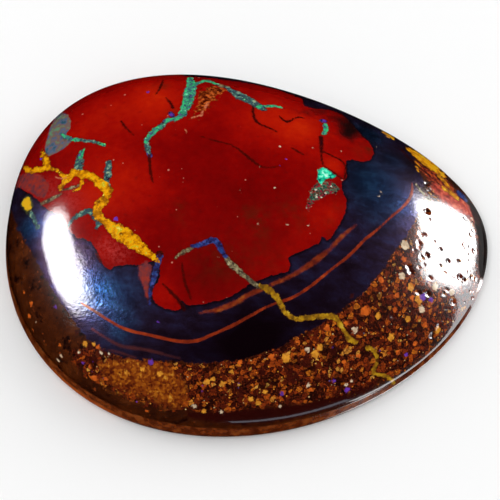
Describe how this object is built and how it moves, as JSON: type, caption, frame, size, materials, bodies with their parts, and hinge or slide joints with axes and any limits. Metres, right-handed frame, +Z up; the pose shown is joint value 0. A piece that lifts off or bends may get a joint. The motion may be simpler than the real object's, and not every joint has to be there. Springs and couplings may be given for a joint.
{
  "type": "polished boulder opal cabochon",
  "caption": "Freeform pear-shaped cabochon of boulder opal: a polished dome on a low girdle with a flat sawn back to rest on or to glue into a setting.",
  "frame": {"origin": "middle of the flat sawn back", "axes": "+X along the stone's length towards the narrow end, +Z up out of the dome"},
  "size_m": [0.034, 0.0274, 0.0072],
  "materials": {
    "polished_boulder_opal": "glossy polished ironstone: a red jasper patch with green and yellow opal veins, navy and black ironstone with thin orange seams, and speckled brown sandstone"
  },
  "bodies": {
    "root": {"opal_cabochon": "polished_boulder_opal"}
  },
  "joints": []
}
